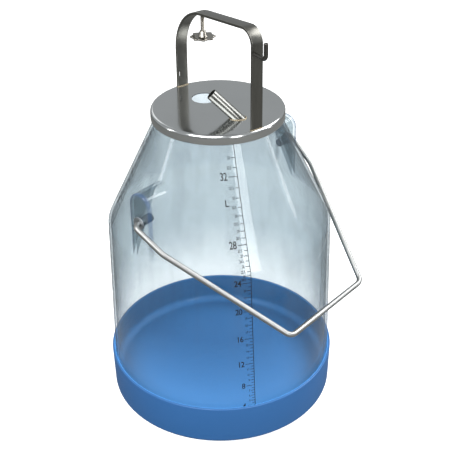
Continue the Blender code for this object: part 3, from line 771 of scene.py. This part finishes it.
def make_bail(mats):
    reach = BODY_R + BAIL_GRIP_OUT
    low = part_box("bail")[0][2]
    rest = math.asin((PIVOT_Z - low - BAIL_WIRE_R) / reach)
    end = EAR_FACE_X + SOCKET_END + GAP - SOCKET_LENGTH + SOCKET_END + GAP
    half = [(end, 0.0), (EAR_FACE_X + BAIL_PIVOT_OUT, 0.0), (EAR_FACE_X + BAIL_ELBOW_OUT, BAIL_ELBOW_T)]
    half.append((BAIL_GRIP_HALF, reach))
    corners = [(-x, -t, 0.0) for x, t in half] + [(x, -t, 0.0) for x, t in reversed(half)]
    path = rounded_path(corners, BAIL_BENDS + BAIL_BENDS[::-1], 20)
    mesh = domed_rod("bail_wire", path, BAIL_WIRE_R, (0.0, 0.0, 1.0), 48)
    turn = Matrix.Translation((0.0, 0.0, PIVOT_Z)) @ Matrix.Rotation(rest, 4, "X")
    bail = add_object("bail_wire", transform(mesh, turn), mats["wire"])
    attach(bail, "bail")
    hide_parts("bail")


# ---------------------------------------------------------------- lid


def tube_direction():
    level = on_lid(math.cos(TUBE_HEADING), math.sin(TUBE_HEADING), 0.0)
    return level * math.cos(TUBE_RISE) + Vector((0, 0, math.sin(TUBE_RISE)))


def make_lid(mats):
    edge_z = LID_TOP_Z - LID_EDGE
    inside = LID_EDGE - LID_SHEET
    profile = [(0.0, LID_TOP_Z)] + [(LID_R * n / 12.0, LID_TOP_Z) for n in range(1, 11)]
    profile += arc((LID_R - LID_EDGE, edge_z), LID_EDGE, 90, 0, 12)
    profile += arc((LID_R - 0.0004, NECK_Z + 0.0004), 0.0004, 0, -90, 3)
    profile += arc((LID_R - LID_SHEET + 0.0004, NECK_Z + 0.0004), 0.0004, -90, -180, 3)
    profile += arc((LID_R - LID_EDGE, edge_z), inside, 0, 90, 8)
    profile.append((0.0, LID_TOP_Z - LID_SHEET))
    lid = add_object("steel_lid", lathe("steel_lid", profile, TURNED_STEPS), mats["lid"])
    port = lathe("port", [(0, 0.02), (PORT_R, 0.02), (PORT_R, -0.02), (0, -0.02)], 128)
    hole = lathe("hole", [(0, 0.014), (TUBE_R + GAP, 0.014), (TUBE_R + GAP, -0.014), (0, -0.014)], 96)
    tilt = tube_direction().to_track_quat("Z", "Y").to_matrix().to_4x4()
    carve(lid, [("DIFFERENCE", port, Matrix.Translation(on_lid(PORT_U, 0.0, LID_TOP_Z))),
                ("DIFFERENCE", hole, Matrix.Translation(on_lid(TUBE_U, 0.0, LID_TOP_Z)) @ tilt)])
    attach(lid, "lid_set")
    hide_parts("lid")


def make_handle(mats):
    foot = LID_TOP_Z + GAP
    corners = [(-STRAP_HALF, 0.0, foot), (-STRAP_HALF, 0.0, STRAP_REAR_Z)]
    corners += [(STRAP_HALF, 0.0, STRAP_FRONT_Z), (STRAP_HALF, 0.0, foot)]
    path = rounded_path(corners, STRAP_BENDS, 28)
    half_w, half_t, edge = STRAP_WIDTH / 2.0, STRAP / 2.0, 0.0009
    section = []
    for x, y, start in ((1, 1, 0), (-1, 1, 90), (-1, -1, 180), (1, -1, 270)):
        section += arc((x * (half_w - edge), y * (half_t - edge)), edge, start, start + 90, 5)
    mesh = sweep("steel_handle", path, section, (0.0, 1.0, 0.0))
    across = Matrix([on_lid(1, 0, 0), on_lid(0, 1, 0), (0, 0, 1)]).transposed().to_4x4()
    handle = add_object("steel_handle", transform(mesh, across), mats["bar"])
    top_z = STRAP_REAR_Z + (STRAP_FRONT_Z - STRAP_REAR_Z) * (PORT_U + STRAP_HALF) / (2.0 * STRAP_HALF)
    screw = lathe("hole", [(0, 0.012), (0.0034, 0.012), (0.0034, -0.012), (0, -0.012)], 48)
    ends = arc((SLOT_V, 0.5000), 0.0015, 0, 180, 10) + arc((SLOT_V, 0.4930), 0.0015, 180, 360, 10)
    slot = layered_prism("slot", [[on_lid(u, v, z) for v, z in ends] for u in (-0.095, -0.087)])
    carve(handle, [("DIFFERENCE", screw, Matrix.Translation(on_lid(PORT_U, 0.0, top_z))),
                   ("DIFFERENCE", slot, None)])
    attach(handle, "lid_set")
    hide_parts("lid_handle")


def make_hook(mats):
    face = STRAP_HALF + STRAP / 2.0
    corners = [on_lid(face + GAP, HOOK_V, HOOK_Z), on_lid(face + HOOK_REACH, HOOK_V, HOOK_Z),
               on_lid(face + HOOK_REACH, HOOK_V, HOOK_Z + HOOK_RISE)]
    path = rounded_path(corners, [HOOK_BEND], 14)
    mesh = domed_rod("hook_rod", path, HOOK_R, on_lid(0, 1, 0))
    hook = add_object("hook_rod", mesh, mats["hook"])
    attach(hook, "lid_set")
    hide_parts("cluster_hook")


def tube_path():
    seat = on_lid(TUBE_U, 0.0, LID_TOP_Z)
    corner = seat - tube_direction() * TUBE_CORNER
    corners = [seat + tube_direction() * TUBE_LENGTH, corner, corner - Vector((0.0, 0.0, TUBE_DROP))]
    return rounded_path(corners, [TUBE_BEND], 16)


def make_tube(mats):
    """A tube with a bore: the outer sleeve runs down, the inner one back up."""
    points = tube_path()
    side = (points[1] - points[0]).cross(Vector((0.0, 0.0, 1.0))).normalized()
    lip = 0.0004
    first, last = (points[0] - points[1]).normalized(), (points[-1] - points[-2]).normalized()
    outer = [points[0] - first * lip] + points[1:-1] + [points[-1] - last * lip]
    loop = [(points[0], TUBE_R - lip, 0)] + [(p, TUBE_R, n) for n, p in enumerate(outer)]
    loop += [(points[-1], TUBE_R - lip, len(outer) - 1), (points[-1], TUBE_BORE, len(outer) - 1)]
    loop += [(p, TUBE_BORE, len(outer) - 1 - n) for n, p in enumerate(reversed(outer))]
    loop.append((points[0], TUBE_BORE, 0))
    bm = bmesh.new()
    rings = []
    for point, radius, index in loop:
        before, after = points[max(index - 1, 0)], points[min(index + 1, len(points) - 1)]
        up = side.cross((after - before).normalized())
        rings.append([bm.verts.new(point + side * a + up * b) for a, b in circle(radius, 64)])
    for ring, following in zip(rings, rings[1:] + rings[:1]):
        for step in range(64):
            after = (step + 1) % 64
            bm.faces.new([ring[step], ring[after], following[after], following[step]])
    tube = add_object("inlet_tube", mesh_from(bm, "inlet_tube"), mats["tube"])
    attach(tube, "lid_set")
    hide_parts("milk_inlet_tube")


def weld_tree():
    """Turns a curve into a weld bead whose thickness ripples along it."""
    tree = bpy.data.node_groups.new("weld_bead", "GeometryNodeTree")
    tree.interface.new_socket("Geometry", in_out="INPUT", socket_type="NodeSocketGeometry")
    radius = tree.interface.new_socket("Bead radius", in_out="INPUT", socket_type="NodeSocketFloat")
    pitch = tree.interface.new_socket("Ripple pitch", in_out="INPUT", socket_type="NodeSocketFloat")
    metal = tree.interface.new_socket("Metal", in_out="INPUT", socket_type="NodeSocketMaterial")
    tree.interface.new_socket("Geometry", in_out="OUTPUT", socket_type="NodeSocketGeometry")
    start = add(tree, "NodeGroupInput")
    curve = add(tree, "GeometryNodeMeshToCurve", Mesh=(start, "Geometry"))
    fine = add(tree, "GeometryNodeResampleCurve", Curve=(curve, "Curve"), Count=220)
    along = add(tree, "GeometryNodeSplineParameter")
    turns = add(tree, "ShaderNodeMath", {"operation": "DIVIDE"}, i0=(along, "Length"),
                i1=(start, "Ripple pitch"))
    angle = add(tree, "ShaderNodeMath", {"operation": "MULTIPLY"}, i0=(turns, 0), i1=2.0 * math.pi)
    wave = add(tree, "ShaderNodeMath", {"operation": "SINE"}, i0=(angle, 0))
    swell = add(tree, "ShaderNodeMath", {"operation": "MULTIPLY_ADD"}, i0=(wave, 0), i1=0.12, i2=0.88)
    size = add(tree, "ShaderNodeMath", {"operation": "MULTIPLY"}, i0=(swell, 0), i1=(start, "Bead radius"))
    ring = add(tree, "GeometryNodeCurvePrimitiveCircle", Resolution=12, Radius=1.0)
    bead = add(tree, "GeometryNodeCurveToMesh", Curve=(fine, "Curve"), Profile_Curve=(ring, "Curve"))
    tree.links.new(size.outputs[0], bead.inputs["Scale"])
    shaded = add(tree, "GeometryNodeSetMaterial", Geometry=(bead, "Mesh"), Material=(start, "Metal"))
    end = add(tree, "NodeGroupOutput")
    tree.links.new(shaded.outputs["Geometry"], end.inputs["Geometry"])
    return tree, (radius.identifier, pitch.identifier, metal.identifier)


def loop_object(name, points):
    bm = bmesh.new()
    verts = [bm.verts.new(p) for p in points]
    for a, b in zip(verts, verts[1:] + verts[:1]):
        bm.edges.new((a, b))
    mesh = bpy.data.meshes.new(name)
    bm.to_mesh(mesh)
    bm.free()
    return add_object(name, mesh, None)


def make_welds(mats):
    tree, names = weld_tree()
    half_w, half_t = STRAP_WIDTH / 2.0, STRAP / 2.0
    loops = []
    for label, u in (("rear", -STRAP_HALF), ("front", STRAP_HALF)):
        points = []
        for x, y, start in ((1, 1, 0), (-1, 1, 90), (-1, -1, 180), (1, -1, 270)):
            centre = (u + x * (half_t - 0.0008), y * (half_w - 0.0008))
            bend = arc(centre, 0.0009, start, start + 90, 4)
            points += [on_lid(a, b, LID_TOP_Z + 0.0004) for a, b in bend]
        loops.append(("weld_%s_foot" % label, points, 0.0008))
    axis = tube_direction()
    seat = on_lid(TUBE_U, 0.0, LID_TOP_Z + 0.0004)
    level = Vector((axis.x, axis.y, 0.0)).normalized()
    across = Vector((-level.y, level.x, 0.0))
    stretch = 1.0 / axis.z
    ring = [seat + level * (math.cos(2 * math.pi * n / 96) * TUBE_R * stretch)
            + across * (math.sin(2 * math.pi * n / 96) * TUBE_R) for n in range(96)]
    loops.append(("weld_tube", ring, 0.0010))
    for name, points, radius in loops:
        bead = loop_object(name, points)
        run_nodes(bead, tree, dict(zip(names, (radius, 1.6 * MM, mats["weld"]))))
        bead.data.shade_smooth()
        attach(bead, "lid_set")


# ---------------------------------------------------------------- clamp screw


def make_clamp(mats):
    place_at = Matrix.Translation(on_lid(PORT_U, 0.0, WHEEL_Z))
    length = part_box("clamp_screw")[1][2] - WHEEL_Z

    def thread(radius, angle, height):
        if radius < 0.0028 or height < 0.0102:
            return radius
        turn = (height / THREAD_PITCH - angle / (2.0 * math.pi)) % 1.0
        return radius - 0.0005 * abs(2.0 * turn - 1.0)

    profile = [(0.0, length), (0.0024, length), (SCREW_R, length - 0.0006)]
    count = int((length - 0.0012) / (THREAD_PITCH / 8.0))
    profile += [(SCREW_R, length - 0.0006 - n * THREAD_PITCH / 8.0) for n in range(1, count)]
    profile += [(SCREW_R, 0.0), (0.0018, 0.0), (0.0018, 0.0063), (0.0, 0.0063)]
    screw = add_object("screw", transform(lathe("screw", profile, 48, thread), place_at), mats["turned"])

    def lobes(radius, angle, height):
        if radius < 0.0080:
            return radius
        share = min(1.0, (radius - 0.0080) / 0.004)
        return radius + 0.0015 * share * math.cos(8.0 * angle)

    wheel_profile = [(0.0033, 0.0), (0.0033, 0.0100), (0.0039, 0.0100), (0.0043, 0.0096)]
    wheel_profile += [(0.0065, 0.0030), (0.0070, 0.0025), (0.0090, 0.0025), (0.0120, 0.0025),
                      (0.0150, 0.0025)]
    wheel_profile += arc((0.0157, 0.0017), 0.0008, 90, 0, 5) + arc((0.0157, 0.0008), 0.0008, 0, -90, 5)
    wheel_profile += [(0.0150, 0.0), (0.0120, 0.0), (0.0080, 0.0)]
    wheel = add_object("hand_wheel", transform(lathe("hand_wheel", wheel_profile, 256, lobes), place_at),
                       mats["turned"])
    pad_profile = [(0.0, 0.0057), (0.0014, 0.0057), (0.0014, -GAP)]
    pad_profile += arc((0.0076, -GAP - 0.0004), 0.0004, 90, 0, 4) + arc((0.0074, -0.0024), 0.0006, 0, -90, 4)
    pad_profile.append((0.0, -0.0030))
    pad = add_object("pad", transform(lathe("pad", pad_profile, 96), place_at), mats["turned"])
    for item, body, node, slot in ((screw, "clamp_spindle", "clamp_screw", "screw_steel"),
                                   (wheel, "clamp_spindle", "clamp_wheel", "wheel_steel"),
                                   (pad, "clamp_foot", "clamp_pad", "pad_steel")):
        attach(item, body)
        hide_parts(node)


# ---------------------------------------------------------------- studio


def look_from(position, target):
    return (Vector(target) - Vector(position)).to_track_quat("-Z", "Y").to_euler()


def panel(name, heading_deg, distance, height, size, power, target=(0.0, 0.0, 0.3)):
    """A soft rectangular light at a heading round the bucket."""
    heading = math.radians(heading_deg)
    light = bpy.data.lights.new(name, "AREA")
    light.shape = "RECTANGLE"
    light.size, light.size_y = size
    light.energy = power
    item = bpy.data.objects.new(name, light)
    bpy.context.collection.objects.link(item)
    item.location = (distance * math.sin(heading), -distance * math.cos(heading), height)
    item.rotation_euler = look_from(item.location, target)


def make_studio(mats):
    bm = bmesh.new()
    bmesh.ops.create_circle(bm, cap_ends=True, segments=96, radius=9.0)
    floor_mesh = bpy.data.meshes.new("floor")
    bm.to_mesh(floor_mesh)
    bm.free()
    floor = add_object("floor", floor_mesh, mats["floor"])
    floor.location = (0.0, 0.0, -0.0002)
    world = bpy.data.worlds.new("studio")
    bpy.context.scene.world = world
    world.use_nodes = True
    world.node_tree.nodes["Background"].inputs["Color"].default_value = linear("E6EAEC")
    world.node_tree.nodes["Background"].inputs["Strength"].default_value = 0.55
    panel("key", -75.0, 1.8, 2.3, (2.0, 1.6), 62.0, (0.0, 0.0, 0.1))
    panel("fill", 60.0, 1.9, 2.2, (1.8, 1.4), 48.0, (0.0, 0.0, 0.1))
    panel("sheen", 160.0, 2.5, 1.9, (1.3, 1.1), 3.6, (0.0, 0.0, 0.47))
    panel("window_right", -19.0, 2.2, 1.15, (0.60, 1.6), 17.0, (0.0, 0.0, 0.4))
    panel("window_left", -133.0, 2.4, 1.2, (0.25, 1.5), 7.0, (0.0, 0.0, 0.4))
    panel("window_far", 41.0, 2.4, 1.2, (0.22, 1.5), 6.0, (0.0, 0.0, 0.4))
    camera = bpy.data.cameras.new("camera")
    camera.sensor_width = 36.0
    camera.lens = 78.41
    item = bpy.data.objects.new("camera", camera)
    bpy.context.collection.objects.link(item)
    turn = Matrix.Rotation(math.radians(-49.0), 4, "Z") @ Matrix.Rotation(math.radians(58.27), 4, "X")
    turn = turn @ Matrix.Rotation(math.radians(-0.371), 4, "Y")
    turn = turn @ Matrix.Rotation(math.radians(-0.878), 4, "Z")
    item.matrix_world = Matrix.Translation((-0.96104, -0.83542, 1.06503)) @ turn
    bpy.context.scene.camera = item
    bpy.context.scene.view_settings.view_transform = "Standard"


mats = make_materials()
make_body(mats)
make_sockets(mats)
make_cup(mats)
make_scales(mats)
make_bail(mats)
make_lid(mats)
make_handle(mats)
make_hook(mats)
make_tube(mats)
make_welds(mats)
make_clamp(mats)
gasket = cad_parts["lid_gasket"]
gasket.data.materials.clear()
gasket.data.materials.append(mats["rubber"])
make_studio(mats)
